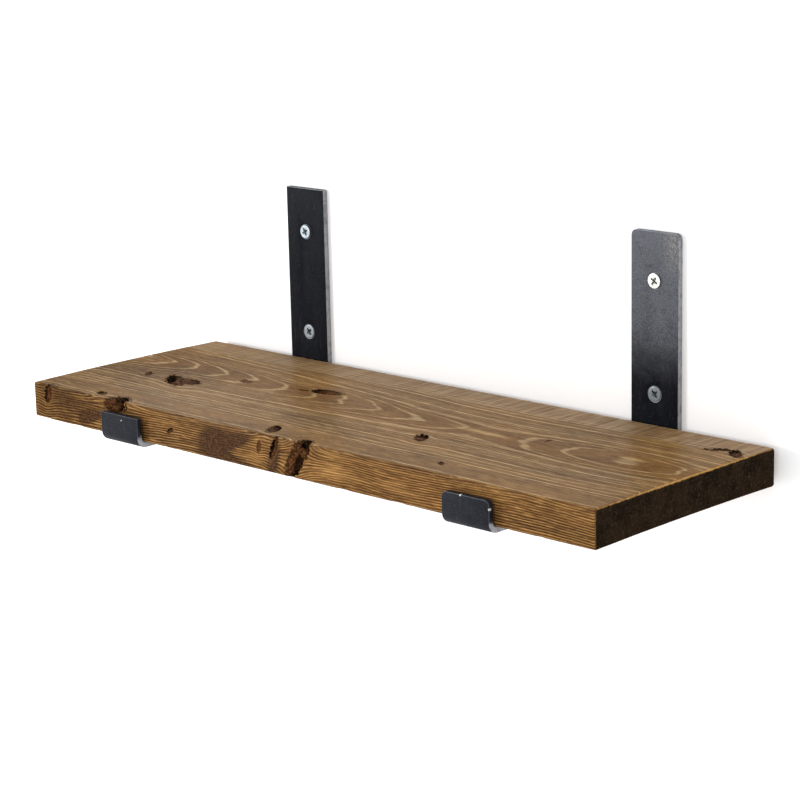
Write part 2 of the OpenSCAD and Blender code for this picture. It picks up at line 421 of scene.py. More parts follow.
def paint_knots(tree, look, point, speckle, colour):
    """Paints the knots over the wood: a golden halo, a heart with rings of its own, bark and cracks. Gives
    the colour, and where the hearts and the dark parts are."""
    nearest = shared("Nearest knot", make_nearest_group)
    local, reach, opening, side = ORIGIN, FAR, 0.0, 0.0
    for knot in KNOTS:
        found = use(tree, nearest, Point=point, Local=local, Reach=reach, Open=opening, Side=side,
                    Centre=knot["at"], Size=list(knot["half"]), Turn=turn_of(knot), Opening=knot["open"],
                    Bark_Side=bark_side(knot))
        local, reach, opening, side = (found[key] for key in ("Local", "Reach", "Open", "Side"))
    wander = calc(tree, "MULTIPLY_ADD", speckle, 1.7, -0.85)
    edge = calc(tree, "ADD", reach, wander)
    halo_colour = mix(tree, 0.2, tuple(look.ground), tuple(look.line))
    golden = mix(tree, fade(tree, edge, 1.8, 0.9, 0.0, 0.3), colour, halo_colour)
    rings = calc(tree, "SINE", calc(tree, "MULTIPLY_ADD", edge, 21.0, calc(tree, "MULTIPLY", speckle, 9.0)))
    heart_colour = mix(tree, calc(tree, "MULTIPLY_ADD", rings, 0.34, 0.36),
                       tuple(look.knot), tuple(look.knot_light))
    body = mix(tree, fade(tree, edge, 1.02, 0.84, 0.0, 0.95), golden, heart_colour)
    dark_side = fade(tree, calc(tree, "ADD", side, wander), -0.25, 0.65)
    off_rim = calc(tree, "ABSOLUTE", calc(tree, "SUBTRACT", edge, 0.9))
    rim = calc(tree, "MULTIPLY", fade(tree, off_rim, 0.3, 0.12),
               calc(tree, "MULTIPLY_ADD", dark_side, 0.4, 0.6))
    hollow = calc(tree, "MULTIPLY", fade(tree, edge, 0.98, 0.5), calc(tree, "MULTIPLY", dark_side, opening))
    split = calc(tree, "ABSOLUTE", calc(tree, "SUBTRACT", cloud(tree, local, 1.5, 2.0, 0.6, 0.5), 0.5))
    crack = calc(tree, "MULTIPLY", fade(tree, split, 0.045, 0.015), fade(tree, edge, 1.0, 0.85))
    dark = calc(tree, "MAXIMUM", calc(tree, "MAXIMUM", rim, hollow), calc(tree, "MULTIPLY", crack, 0.8))
    dark = calc(tree, "MULTIPLY", dark, fade(tree, opening, 0.0, 0.45, 0.35, 1.0))
    return mix(tree, dark, body, tuple(look.bark)), fade(tree, edge, 1.02, 0.84), dark


def make_scratch_group(name):
    """Short straight scratches at all angles, with softer blotches; Size is their length in millimetres."""
    def build(tree, ins):
        at = shift(tree, "DIVIDE", ins["Point"], ins["Size"])
        marks = None
        for turn in (0.35, 1.25, 2.2):
            turned = place(tree, "Mapping", {"Vector": at, "Rotation": (turn, turn * 0.7, turn)}).outputs[0]
            streak = cloud(tree, shift(tree, "MULTIPLY", turned, (0.5, 9.0, 9.0)), 1.0, 2.0, 0.6)
            mark = fade(tree, streak, 0.63, 0.72)
            marks = mark if marks is None else calc(tree, "MAXIMUM", marks, mark)
        blotch = cloud(tree, at, 0.8, 4.0, 0.62, 0.4)
        return {"Marks": marks, "Blotches": blotch}

    return node_group(
        name, [("Point", "Vector", ORIGIN), ("Size", "Vector", (10, 10, 10))],
        [("Marks", "Float"), ("Blotches", "Float")], build)


def scratch_group():
    return shared("Scratches and blotches", make_scratch_group)


def finish_surface(tree, colour, roughness, metallic, height, depth_mm, specular):
    """Gives a material's tree its Principled shader and bump."""
    bump = place(tree, "Bump", {"Strength": 1.0, "Distance": depth_mm * MM, "Height": height})
    shader = place(tree, "BsdfPrincipled", {
        "Base Color": colour, "Roughness": roughness, "Metallic": metallic, "Normal": bump.outputs[0]})
    shader.inputs["Specular IOR Level"].default_value = specular
    output = place(tree, "OutputMaterial")
    tree.links.new(shader.outputs[0], output.inputs[0])
    return shader


def empty_material(name):
    material = bpy.data.materials.new(name)
    material.use_nodes = True
    material.node_tree.nodes.clear()
    return material


# ---- Materials ----

def grain_round_knots(tree, point):
    """The point moved so that straight grain is drawn apart by the knots."""
    bend = shared("Grain round a knot", make_bend_group)
    bent = point
    for knot in KNOTS:
        size = [1.25 * half for half in knot["half"]]
        bent = use(tree, bend, Bent=bent, Centre=knot["at"], Size=size, Turn=turn_of(knot),
                   Strength=knot["bend"])["Bent"]
    return bent


def growth_rings(tree, look, bent, top):
    """Distance from the pith, in rings, and the crest, where the top face just grazes them. The pith dips
    towards the ends, so the rings of the top face close into points and loops."""
    x, y, z = parts_of(tree, bent)
    rise = calc(tree, "ADD", ramp(tree, x, *PITH_RISE),
                calc(tree, "ADD", fade(tree, x, *PITH_DIP), fade(tree, x, *PITH_LIFT)))
    depth = calc(tree, "ADD", calc(tree, "SUBTRACT", z, top),
                 calc(tree, "ADD", rise, look.pith_depth / MM))
    pith_y = ramp(tree, x, *PITH_FROM_WALL)
    across = calc(tree, "ABSOLUTE", calc(tree, "MULTIPLY", calc(tree, "SUBTRACT", y, pith_y), 1.3))
    across = calc(tree, "DIVIDE", calc(tree, "POWER", across, 2.0), calc(tree, "ADD", across, 9.0))
    radius = calc(tree, "SQRT", calc(tree, "ADD", calc(tree, "POWER", across, 2.0),
                                     calc(tree, "POWER", depth, 2.0)))
    sway = calc(tree, "SUBTRACT", cloud(tree, stretched(tree, bent, 95, 24, 24, 3.0), 1.0, 1.0), 0.5)
    ripple = calc(tree, "SUBTRACT", cloud(tree, stretched(tree, bent, 24, 6, 6, 7.0), 1.0, 1.0), 0.5)
    crest = fade(tree, across, 42.0, 8.0)
    ripple = calc(tree, "MULTIPLY", ripple, calc(tree, "MULTIPLY_ADD", crest, -0.6, 0.8))
    radius = calc(tree, "ADD", radius, calc(tree, "MULTIPLY_ADD", sway, 2.4, ripple))
    return calc(tree, "DIVIDE", radius, look.ring_gap / MM), crest


def late_wood(tree, rings, crest):
    """The hard part of each ring, and a chance number for each ring."""
    ring = calc(tree, "FLOOR", rings)
    phase = calc(tree, "FRACT", rings)
    chance = place(tree, "TexWhiteNoise", {"W": ring}, noise_dimensions="1D").outputs["Value"]
    late = calc(tree, "MULTIPLY", fade(tree, phase, calc(tree, "MULTIPLY_ADD", crest, 0.35, 0.38), 0.86),
                fade(tree, phase, 1.0, 0.9))
    return late, chance


def ring_lines(tree, bent, rings, late, chance, plain):
    """The ring lines, of a strength of their own and fewer of them bold where the wood is plain."""
    strength = calc(tree, "MULTIPLY_ADD", calc(tree, "POWER", chance, 2.2), 0.6, 0.2)
    strength = calc(tree, "MULTIPLY_ADD", plain, calc(tree, "MULTIPLY_ADD", strength, -0.7, 0.6), strength)
    ragged = cloud(tree, stretched(tree, bent, 16, 1.6, 1.6, 1.0), 1.0, 2.0)
    ragged = fade(tree, ragged, 0.25, 0.65, 0.35, 1.0)
    line = calc(tree, "MULTIPLY", calc(tree, "MULTIPLY", late, strength), ragged)

    # Every few years' rings a bolder line
    groups = calc(tree, "DIVIDE", rings, 3.7)
    luck = place(tree, "TexWhiteNoise", {"W": calc(tree, "ADD", calc(tree, "FLOOR", groups), 0.5)},
                 noise_dimensions="1D").outputs["Value"]
    part = calc(tree, "FRACT", groups)
    bold = calc(tree, "MULTIPLY", fade(tree, part, 0.68, 0.9), fade(tree, part, 1.0, 0.95))
    bold = calc(tree, "MULTIPLY", bold, fade(tree, luck, 0.25, 0.95))
    bold = calc(tree, "MULTIPLY", bold, calc(tree, "MULTIPLY_ADD", plain, -0.65, 1.0))
    return calc(tree, "MAXIMUM", line, calc(tree, "MULTIPLY", bold, ragged))


def stain_tone(tree, bent, broad):
    """How dark or light the stain came out, from below 0 to above."""
    stain = shared("Stain patch", make_stain_group)
    tone = fade(tree, broad, 0.32, 0.68, -0.25, 0.4)
    for patch in STAINS:
        tone = use(tree, stain, Point=bent, Tone=tone, Centre=patch["at"], Size=list(patch["half"]),
                   Turn=turn_of(patch), Amount=patch["tone"])["Tone"]
    return tone


def stained_colour(tree, look, up, tone, line, streak, fibre, pore, speckle):
    """Stained wood with its ring lines, fibres and pores."""
    # Upward faces take the paler, greyer colours: a painted sheen.
    pale = mix(tree, up, tuple(look.line), tuple(look.line_top_with_sheen))
    free = fade(tree, tone, -1.6, -0.3, 0.13, 1.0)
    ground = mix(tree, up, tuple(look.ground), tuple(look.ground_top_with_sheen))
    ground = mix(tree, fade(tree, tone, -1.3, 0.5), tuple(look.shade), ground)
    ground = mix(tree, fade(tree, tone, 0.2, 1.5, 0.0, 0.55), ground, pale)
    colour = mix(tree, calc(tree, "MULTIPLY", line, calc(tree, "MULTIPLY", free, 0.85)), ground, pale)
    colour = mix(tree, fade(tree, streak, 0.34, 0.64, 0.38, 0.0), colour, tuple(look.shade))
    colour = mix(tree, fade(tree, fibre, 0.30, 0.54, 0.62, 0.0), colour, tuple(look.shade))
    colour = mix(tree, calc(tree, "MULTIPLY", fade(tree, fibre, 0.54, 0.74, 0.0, 0.42), free), colour, pale)
    colour = mix(tree, calc(tree, "MULTIPLY", pore, 0.55), colour, tuple(look.bark))
    mottle = calc(tree, "MULTIPLY", fade(tree, speckle, 0.46, 0.62, 0.0, 0.5),
                  calc(tree, "SUBTRACT", 1.0, free))
    return mix(tree, mottle, colour, tuple(look.mottle))


def paint_saw_band(tree, look, point, speckle, up, back, colour):
    """Paints the rough-sawn band along the back edge. Gives the colour, where the band is and its kerfs."""
    px, py, _ = parts_of(tree, point)
    band_edge = calc(tree, "ADD", py, calc(tree, "MULTIPLY", speckle, 1.2))
    border = back - look.saw_band / MM
    band = calc(tree, "MULTIPLY", up, fade(tree, band_edge, border - 0.8, border + 1.4))
    teeth = cloud(tree, stretched(tree, point, 3.6, 60, 60, 2.0), 1.0, 2.0, 0.7)
    furrow = cloud(tree, stretched(tree, point, 0.9, 22, 22, 4.0), 1.0, 2.0, 0.6)
    kerf = calc(tree, "MULTIPLY_ADD", furrow, 0.45, calc(tree, "MULTIPLY", teeth, 0.55))
    torn = fade(tree, px, -150.0, 90.0, 0.35, 0.85)
    kerf_light = calc(tree, "MULTIPLY", calc(tree, "MULTIPLY", band, torn), fade(tree, kerf, 0.45, 0.6))
    kerf_dark = calc(tree, "MULTIPLY", calc(tree, "MULTIPLY", band, torn), fade(tree, kerf, 0.5, 0.38))
    colour = mix(tree, calc(tree, "MULTIPLY", band, 0.45), colour, tuple(look.sawn))
    colour = mix(tree, calc(tree, "MULTIPLY", kerf_light, 0.5), colour, tuple(look.sawn_light))
    colour = mix(tree, calc(tree, "MULTIPLY", kerf_dark, 0.4), colour, tuple(look.sawn_dark))
    return colour, band, kerf


def sawn_end_colour(tree, look, point, speckle, late, broad, top):
    """The sawn ends, dark but for the worn arris of the top."""
    rings = calc(tree, "MULTIPLY_ADD", late, 0.35,
                 calc(tree, "MULTIPLY", fade(tree, broad, 0.35, 0.65), 0.4))
    colour = mix(tree, rings, tuple(look.end_grain), tuple(look.end_ring))
    saw = cloud(tree, stretched(tree, point, 9, 1.6, 1.6, 9.0), 1.0, 4.0, 0.75, 0.6)
    colour = mix(tree, fade(tree, saw, 0.5, 0.7, 0.0, 0.42), colour, tuple(look.end_dust))
    height = parts_of(tree, point)["Z"]
    arris = fade(tree, calc(tree, "ADD", height, calc(tree, "MULTIPLY", speckle, 2.2)), top - 0.7, top + 0.7)
    return mix(tree, calc(tree, "MULTIPLY", arris, 0.7), colour, tuple(look.line))


def wax_sheen(tree, point, up, line, fibre, heart, dark_or_end):
    """Share of wax left on: most on the top and on the hard ring lines, least in knots and on the ends."""
    wax = calc(tree, "MULTIPLY_ADD", line, 0.20, calc(tree, "MULTIPLY_ADD", fibre, 0.35, 0.10))
    wax = calc(tree, "MULTIPLY", wax, calc(tree, "MULTIPLY_ADD", up, 0.75, 0.25))
    wax = calc(tree, "MULTIPLY", wax, fade(tree, parts_of(tree, point)["X"], -280.0, -120.0, 0.45, 1.0))
    wax = calc(tree, "MULTIPLY", wax, calc(tree, "SUBTRACT", 1.0, calc(tree, "MULTIPLY", heart, 0.6)))
    return calc(tree, "MULTIPLY", wax, calc(tree, "SUBTRACT", 1.0, dark_or_end))


def wood_material(look, board_high):
    """Stained and waxed softwood, sawn lengthwise close to the heart of the log."""
    material = empty_material("stained softwood")
    tree = material.node_tree
    top = board_high.z / MM
    back = board_high.y / MM
    point = point_in_mm(tree)
    speckle = cloud(tree, point, 0.42, 3.0, 0.65)

    # The structure of the wood
    bent = grain_round_knots(tree, point)
    rings, crest = growth_rings(tree, look, bent, top)
    late, chance = late_wood(tree, rings, crest)
    facing = parts_of(tree, place(tree, "TexCoord").outputs["Normal"])
    up = fade(tree, facing["Z"], 0.6, 0.9)
    plain = calc(tree, "MAXIMUM", crest, calc(tree, "SUBTRACT", 1.0, up))
    line = ring_lines(tree, bent, rings, late, chance, plain)
    fibre = cloud(tree, stretched(tree, bent, 11, 0.5, 0.5, 0.0), 1.0, 3.0, 0.75)
    streak = cloud(tree, stretched(tree, bent, 60, 1.7, 1.7, 6.0), 1.0, 2.0, 0.6)
    pore = fade(tree, cloud(tree, stretched(tree, bent, 5, 0.5, 0.5, 11.0), 1.0, 1.0), 0.68, 0.76)

    # Its colour
    broad = cloud(tree, stretched(tree, bent, 60, 13, 13, 5.0), 1.0, 3.0, 0.6)
    tone = stain_tone(tree, bent, broad)
    colour = stained_colour(tree, look, up, tone, line, streak, fibre, pore, speckle)
    colour, band, kerf = paint_saw_band(tree, look, point, speckle, up, back, colour)
    colour, heart, dark = paint_knots(tree, look, point, speckle, colour)
    end = fade(tree, calc(tree, "ABSOLUTE", facing["X"]), 0.55, 0.9)
    colour = mix(tree, end, colour, sawn_end_colour(tree, look, point, speckle, late, broad, top))

    # Its surface
    roughness = calc(tree, "ADD", calc(tree, "MULTIPLY_ADD", fibre, 0.16, 0.6),
                     calc(tree, "MULTIPLY_ADD", end, 0.25, calc(tree, "MULTIPLY", band, 0.12)))
    height = calc(tree, "ADD", calc(tree, "MULTIPLY_ADD", line, 0.5, calc(tree, "MULTIPLY", fibre, 0.35)),
                  calc(tree, "MULTIPLY", calc(tree, "MULTIPLY", kerf, band), 1.6))
    shader = finish_surface(tree, colour, roughness, 0.0, height, 0.16, 0.0)
    wax = wax_sheen(tree, point, up, line, fibre, heart, calc(tree, "MAXIMUM", dark, end))
    tree.links.new(wax, shader.inputs["Coat Weight"])
    shader.inputs["Coat Roughness"].default_value = look.gloss
    shader.inputs["Coat IOR"].default_value = 1.5
    return material


def nicks(tree, point):
    """Where the lips are knocked bright."""
    found = 0.0
    for nick in NICKS:
        reach = length_of(tree, local_point(tree, point, nick["at"], nick["half"], ORIGIN))
        found = calc(tree, "MAXIMUM", found, fade(tree, reach, 1.1, 0.6))
    return found


def scale_material(name, look, left):
    """Hot rolled steel with its blue-black skin. On the right bracket it is painted pale towards the top, a
    painted sheen.
    """
    low_sheen_and_wear, high_sheen_and_wear = (0.0, 0.05) if left else (0.8, 0.22)
    lip_wear = 0.10
    material = empty_material(name)
    tree = material.node_tree
    point = point_in_mm(tree)
    marks = use(tree, scratch_group(), Point=point, Size=(9, 9, 9))
    fine = use(tree, scratch_group(), Point=point, Size=(3.5, 3.5, 3.5))
    _, y, z = parts_of(tree, point)
    drift = calc(tree, "MULTIPLY", calc(tree, "SUBTRACT", marks["Blotches"], 0.5), 22.0)
    height_on_plate = calc(tree, "ADD", z, drift)
    # Paler where the skin is thin; on the right plate the colour is painted pale towards the top, a painted
    # sheen.
    thin = fade(tree, height_on_plate, -36.0, 18.0, 0.0, low_sheen_and_wear)
    thin = calc(tree, "ADD", thin, fade(tree, height_on_plate, 0.0, 72.0, 0.0, high_sheen_and_wear))
    thin = calc(tree, "ADD", thin, fade(tree, marks["Blotches"], 0.42, 0.75, 0.0, 0.03))
    thin = calc(tree, "ADD", thin, fade(tree, y, -189.0, -194.0, 0.0, lip_wear))
    grit = fade(tree, cloud(tree, point, 1.3, 3.0, 0.75), 0.4, 0.66, 0.6, 1.4)
    colour = mix(tree, calc(tree, "MULTIPLY", thin, grit), tuple(look.scale), tuple(look.pale_scale_and_sheen))
    rust = fade(tree, cloud(tree, point, 0.16, 4.0, 0.7), 0.52, 0.72, 0.0, 0.3)
    colour = mix(tree, rust, colour, tuple(look.rust))
    colour = mix(tree, calc(tree, "MULTIPLY", marks["Marks"], 0.04), colour, tuple(look.cut))
    colour = mix(tree, calc(tree, "MULTIPLY", fine["Marks"], 0.03), colour, tuple(look.cut))
    corner = length_of(tree, local_point(tree, point, RUBBED_CORNER["at"], RUBBED_CORNER["half"], ORIGIN))
    specks = fade(tree, cloud(tree, point, 0.8, 4.0, 0.8), 0.46, 0.6)
    rubbed = calc(tree, "MULTIPLY", fade(tree, corner, 1.2, 0.1, 0.0, 0.75), specks)
    colour = mix(tree, rubbed, colour, tuple(look.corner))
    colour = mix(tree, nicks(tree, point), colour, tuple(look.nick))
    roughness = calc(tree, "MULTIPLY_ADD", marks["Blotches"], 0.3, 0.36)
    height = calc(tree, "SUBTRACT", fine["Blotches"], calc(tree, "MULTIPLY", marks["Marks"], 0.5))
    finish_surface(tree, colour, roughness, 0.0, height, 0.05, 0.03)
    return material


def bare_steel_material(name, look, bright, roughness_low, lip_face, skin):
    """Cut or rubbed steel with fine lines and dull spots. On the lip, whose face is at lip_face, the steel is
    painted near black down to the bend, a painted shade whose share is the last argument; the outside of the
    bend stays bright."""
    lip_back = lip_face + 9.0
    lip_front = lip_face + 5.0
    bend_low = -81.5
    bend_high = -78.0
    material = empty_material(name)
    tree = material.node_tree
    point = point_in_mm(tree)
    marks = use(tree, scratch_group(), Point=point, Size=(4, 4, 4))
    lines = cloud(tree, stretched(tree, point, 0.35, 2.5, 2.5, 1.0), 1.0, 2.0, 0.6)
    share = calc(tree, "ADD", fade(tree, marks["Blotches"], 0.42, 0.7, 0.0, 0.75),
                 calc(tree, "MULTIPLY", lines, 0.2))
    colour = mix(tree, share, bright, tuple(look.pale_scale_and_sheen))
    colour = mix(tree, calc(tree, "MULTIPLY", marks["Marks"], 0.4), colour, tuple(look.scratch))
    _, y, z = parts_of(tree, point)
    # Painted shade: the lip's sides and arrises above the bend are painted near black.
    bend_top = calc(tree, "ADD", z, calc(tree, "MULTIPLY", marks["Blotches"], 5.0))
    painted_lip_shade = calc(tree, "MULTIPLY", fade(tree, y, lip_back, lip_front),
                   fade(tree, bend_top, bend_low, bend_high))
    colour = mix(tree, calc(tree, "MULTIPLY", painted_lip_shade, skin), colour, BLACK)
    colour = mix(tree, nicks(tree, point), colour, tuple(look.nick))
    roughness = calc(tree, "MULTIPLY_ADD", marks["Blotches"], 0.2, roughness_low)
    height = calc(tree, "ADD", lines, marks["Blotches"])
    finish_surface(tree, colour, roughness, 0.2, height, 0.03, 0.15)
    return material


def zinc_material(name, look, highlight_share):
    """Zinc plating, duller where it was handled. The third argument runs from 0, plain zinc, to 1, zinc
    painted bright, a painted highlight.
    """
    material = empty_material(name)
    tree = material.node_tree
    point = point_in_mm(tree)
    marks = use(tree, scratch_group(), Point=point, Size=(2, 2, 2))
    spangle = place(tree, "TexVoronoi", {"Vector": point, "Scale": 1.4}, feature="F1").outputs["Color"]
    grey = parts_of(tree, spangle)["X"]
    share = calc(tree, "ADD", fade(tree, marks["Blotches"], 0.4, 0.7, 0.0, 0.6),
                 calc(tree, "MULTIPLY", grey, 0.18))
    # Painted highlight where the third argument is 1.
    highlit = mix(tree, highlight_share, tuple(look.zinc), tuple(look.zinc_highlight))
    colour = mix(tree, share, highlit, tuple(look.zinc_dull))
    colour = mix(tree, calc(tree, "MULTIPLY", marks["Marks"], 0.35), colour, tuple(look.zinc_dull))
    roughness = calc(tree, "MULTIPLY_ADD", marks["Blotches"], 0.25, 0.22)
    height = calc(tree, "SUBTRACT", marks["Blotches"], calc(tree, "MULTIPLY", marks["Marks"], 0.4))
    finish_surface(tree, colour, roughness, 0.9, height, 0.02, 0.5)
    return material


# ---- Meshes ----

def add_piece(name, mesh, node, materials=()):
    """Shows a mesh instead of a CAD node."""
    piece = bpy.data.objects.new(name, mesh)
    bpy.context.scene.collection.objects.link(piece)
    for material in materials:
        mesh.materials.append(material)
    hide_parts(node)
    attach(piece, "root")


def stations(low, high, step, fine_spots, edge):
    """Positions from low to high, closer together near the fine spots and at both ends."""
    places = [low]
    while places[-1] < high:
        here = places[-1]
        near = min([abs(here - at) - reach for at, reach in fine_spots] + [1e9])
        share = min(1.0, max(0.5, 0.5 + near / 20))
        near_end = min(here - low, high - here)
        gap = step * share if near_end > edge else edge / 3
        places.append(here + gap)
    places[-1] = high
    if high - places[-2] < 0.15 * step:
        del places[-2]
    return np.array(places)


def box_lattice(xs, ys, zs):
    """Points and four-sided faces of the skin of a lattice."""
    index = {}
    points = []
    faces = []

    def corner(spot):
        if spot not in index:
            i, j, k = spot
            index[spot] = len(points)
            points.append((xs[i], ys[j], zs[k]))
        return index[spot]

    def face(*spots):
        faces.append([corner(spot) for spot in spots])

    nx, ny, nz = (len(places) - 1 for places in (xs, ys, zs))
    for i in range(nx):
        for j in range(ny):
            face((i, j, nz), (i + 1, j, nz), (i + 1, j + 1, nz), (i, j + 1, nz))
            face((i, j, 0), (i, j + 1, 0), (i + 1, j + 1, 0), (i + 1, j, 0))
        for k in range(nz):
            face((i, 0, k), (i + 1, 0, k), (i + 1, 0, k + 1), (i, 0, k + 1))
            face((i, ny, k), (i, ny, k + 1), (i + 1, ny, k + 1), (i + 1, ny, k))
    for j in range(ny):
        for k in range(nz):
            face((0, j, k), (0, j, k + 1), (0, j + 1, k + 1), (0, j + 1, k))
            face((nx, j, k), (nx, j + 1, k), (nx, j + 1, k + 1), (nx, j, k + 1))
    return np.array(points), faces


def noise_at(points, x, y, z, offset=0.0):
    """Smooth noise from -1 to 1 at points in millimetres, with features of x, y and z millimetres."""
    scaled = points / np.array([x, y, z]) + offset
    return np.array([noise.noise(Vector(p)) for p in scaled])


def knot_reach(points, knot):
    """Distance from a knot's centre as a share of its half lengths, and the point in the knot's measure."""
    away = points - np.array(knot["at"], float)
    turn = Euler(turn_of(knot)).to_matrix()
    local = away @ np.array(turn) / np.array(knot["half"], float)
    return np.linalg.norm(local, axis=1), local


def ease_long_edges(points, low, high, radius):
    """Moves the points near a long edge onto its round."""
    inner = np.clip(points[:, 1:], low[1:] + radius, high[1:] - radius)
    off = points[:, 1:] - inner
    span = np.linalg.norm(off, axis=1)
    flat = np.abs(off).min(axis=1) < 1e-9
    scale = np.where(flat, 1.0, radius / np.maximum(span, 1e-9))
    points[:, 1:] = inner + off * scale[:, None]


def ease_ends(points, middle, half, radius):
    """Draws the points near an end towards the middle of the end."""
    into_end = np.clip(radius - (half[0] - np.abs(points[:, 0] - middle[0])), 0, radius)
    inset = radius - np.sqrt(radius ** 2 - into_end ** 2)
    share = (points[:, 1:] - middle[1:]) / half[1:]
    points[:, 1:] -= share * np.abs(share) ** 6 * inset[:, None]


def knot_relief(points, knot):
    """Which points a knot reaches, and how deep it lies there: cracks and a pit, in a slight swelling."""
    reach, local = knot_reach(points, knot)
    near = reach < 2.2
    if not near.any():
        return near, 0.0
    rough = 0.25 * noise_at(points[near], 3.4, 3.4, 3.4, 2.0)
    edge = reach[near] + rough
    toward_bark = local[near] @ np.array(bark_side(knot)) / np.maximum(reach[near], 1e-6)
    side = np.clip(toward_bark + rough, 0, 1)
    crack = np.exp(-((edge - 0.92) / 0.16) ** 2) * side
    heart = np.clip(1 - edge, 0, 1)
    swell = np.exp(-((edge - 1.25) / 0.3) ** 2)
    pit = heart * side * 2.6
    return near, knot["open"] * (0.9 * crack + pit) - 0.10 * swell * knot["bend"]


def relief(points, band):
    """How far the plank's skin lies inwards, in millimetres: uneven planing, saw marks and knots."""
    sink = 0.07 * (1 + noise_at(points, 70, 22, 22)) + 0.035 * (1 + noise_at(points, 14, 3, 3, 5.0))
    teeth = noise_at(points, 5.5, 60, 60, 2.0) + 0.6 * noise_at(points, 2.3, 30, 30, 9.0)
    sink += band * (0.10 + 0.09 * teeth)
    for knot in KNOTS:
        near, depth = knot_relief(points, knot)
        sink[near] += depth
    return np.maximum(sink, 0.0)


def plank_mesh(look, low, high):
    """The plank's skin: eased arrises, a slight cup, sawn band, sunk knots and open cracks."""
    low = np.array(low) / MM
    high = np.array(high) / MM
    step = look.mesh_step / MM
    radius = look.arris / MM
    end_radius = 0.9
    xs = stations(low[0], high[0], step, [(k["at"][0], k["half"][0]) for k in KNOTS], end_radius)
    ys = stations(low[1], high[1], step, [(k["at"][1], k["half"][1]) for k in KNOTS], radius)
    zs = stations(low[2], high[2], step, [], radius)
    points, faces = box_lattice(xs, ys, zs)
    middle = (low + high) / 2
    half = (high - low) / 2
    ease_long_edges(points, low, high, radius)
    ease_ends(points, middle, half, end_radius)

    # Outward direction, by face
    away = (points - middle) / half
    outward = np.sign(away) * (np.abs(away) > 0.999 - 0.5 / half)
    lengths = np.linalg.norm(outward, axis=1)
    outward = outward / np.maximum(lengths, 1e-9)[:, None]

    # Relief
    up = outward[:, 2] > 0.5
    band = np.clip((points[:, 1] - (high[1] - look.saw_band / MM)) / 1.5, 0, 1) * up
    points -= outward * relief(points, band)[:, None]

    # The arrises are knocked back unevenly
    corner = (np.abs(away[:, 1]) > 0.985) & (np.abs(away[:, 2]) > 0.9)
    knock = np.clip(noise_at(points, 9, 9, 9, 8.0) - 0.15, 0, 1) * 1.1 * corner
    points[:, 2] -= np.sign(away[:, 2]) * knock

    # A slight cup: both faces bow up between the long edges
    bow = look.cup / MM * (1 - away[:, 1] ** 2)
    inside_height = np.clip(away[:, 2] * 0.5 + 0.5, 0, 1)
    points[:, 2] += bow - look.cup / MM * inside_height * 0.6
    mesh = bpy.data.meshes.new("plank")
    mesh.from_pydata([tuple(p) for p in points * MM], [], faces)
    mesh.shade_smooth()
    return mesh


def screw_axes():
    """Where the screws run: a point and a direction for each."""
    found = []
    for names, direction in ((WALL_SCREWS, INTO_WALL), (BOARD_SCREWS, UPWARDS)):
        for node, _ in names:
            low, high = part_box(node)
            found.append(((low + high) / 2, direction))
    return found


def near_hole(centre, axes, reach):
    """Whether a point is close to a screw's axis."""
    for origin, direction in axes:
        away = centre - origin
        if (away - direction * away.dot(direction)).length < reach:
            return True
    return False


def bracket_mesh(name, node, look, axes, materials):
    """The CAD bracket with softened arrises. Materials: the rolled skin, the cut steel, the rubbed arris."""
    skin_slot, cut_slot, arris_slot = 0, 1, 2
    sink_reach = 6.4 * MM
    bm = bmesh.new()
    bm.from_mesh(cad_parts[node].data)
    bmesh.ops.remove_doubles(bm, verts=bm.verts, dist=1e-6)
    bmesh.ops.dissolve_limit(bm, angle_limit=math.radians(0.5), verts=bm.verts, edges=bm.edges)
    for face in bm.faces:
        normal = face.normal
        sawn = abs(normal.x) > 0.9
        sunk = max(abs(c) for c in normal) < 0.97 and near_hole(face.calc_center_median(), axes, sink_reach)
        face.material_index = cut_slot if sawn or sunk else skin_slot
    mesh = bpy.data.meshes.new(name)
    bm.to_mesh(mesh)
    bm.free()
    for material in materials:
        mesh.materials.append(material)
    rough = bpy.data.objects.new(name + "_rough", mesh)
    bpy.context.scene.collection.objects.link(rough)
    bevel = rough.modifiers.new("rubbed arrises", "BEVEL")
    bevel.width = look.edge_softness
    bevel.segments = 2
    bevel.limit_method = "ANGLE"
    bevel.angle_limit = math.radians(35)
    bevel.material = arris_slot
    bevel.use_clamp_overlap = False
    ready = rough.evaluated_get(bpy.context.evaluated_depsgraph_get())
    result = bpy.data.meshes.new_from_object(ready)
    result.name = name
    bpy.data.objects.remove(rough)
    result.shade_smooth()
    result.set_sharp_from_angle(angle=math.radians(32))
    return result


def thread_rows(start, length, pitch, shank_r, core_r, thread_r, sides):
    """Radius and height all round the threaded part, with one helical ridge that tapers to the point."""
    steps_per_pitch = 10
    tip_from = length - 2.2 * thread_r
    steps = int((length - start) / (pitch / steps_per_pitch))
    rows = []
    for i in range(1, steps):
        z = start + (length - start) * i / steps
        taper = min(1.0, (length - z) / (length - tip_from))
        grow = min(1.0, i * 0.1 / 1.5)
        base = shank_r + (core_r - shank_r) * min(1.0, i * 0.1 / 0.8)
        row = []
        for s in range(sides):
            phase = ((z - start) / pitch - s / sides) % 1.0
            ridge = max(0.0, 1 - abs(phase - 0.5) / 0.24)
            crest = core_r + (thread_r - core_r) * ridge ** 0.8 * grow
            row.append((max(crest, base) * taper, z))
        rows.append(row)
    return rows


